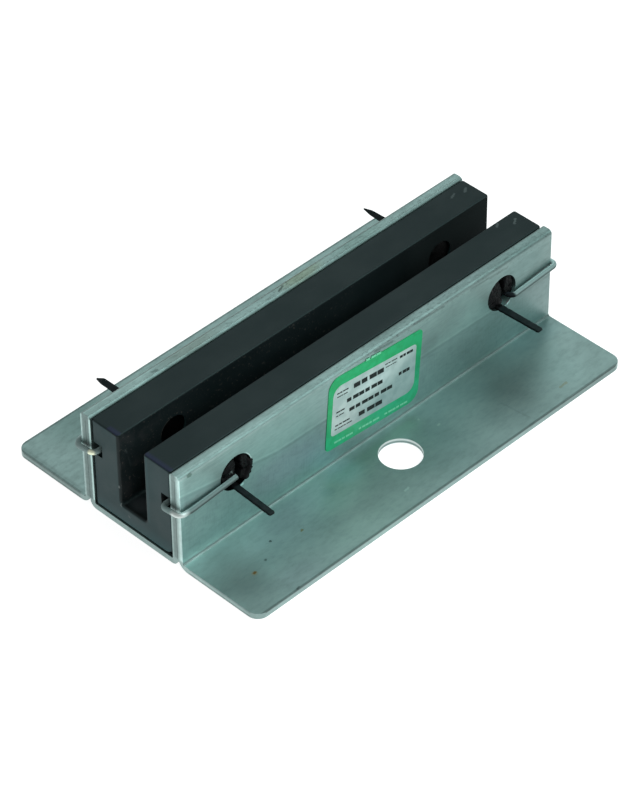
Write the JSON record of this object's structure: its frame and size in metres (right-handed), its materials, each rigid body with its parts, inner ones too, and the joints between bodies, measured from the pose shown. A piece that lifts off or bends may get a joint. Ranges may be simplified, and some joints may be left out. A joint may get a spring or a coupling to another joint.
{
  "type": "elevator sliding guide shoe",
  "caption": "Sliding guide shoe: a folded steel housing with flanges holds a slotted plastic liner, kept by wire clips and rubber plugs.",
  "frame": {"origin": "centre of the underside, midway between the bolt holes", "axes": "+X along the guide rail, +Z away from the mounting surface, -Y towards the wall with the label"},
  "size_m": [0.1435, 0.092, 0.0318],
  "materials": {
    "galvanised_steel": "satin",
    "black_liner": "satin",
    "spring_wire": "satin",
    "black_rubber": "matte",
    "label_film": "satin"
  },
  "bodies": {
    "root": {"housing": "galvanised_steel", "liner": "black_liner", "front_near_plug": "black_rubber", "rear_near_plug": "black_rubber", "front_far_plug": "black_rubber", "rear_far_plug": "black_rubber", "front_near_clip": "spring_wire", "rear_near_clip": "spring_wire", "front_far_clip": "spring_wire", "rear_far_clip": "spring_wire", "label": "label_film"}
  },
  "joints": []
}
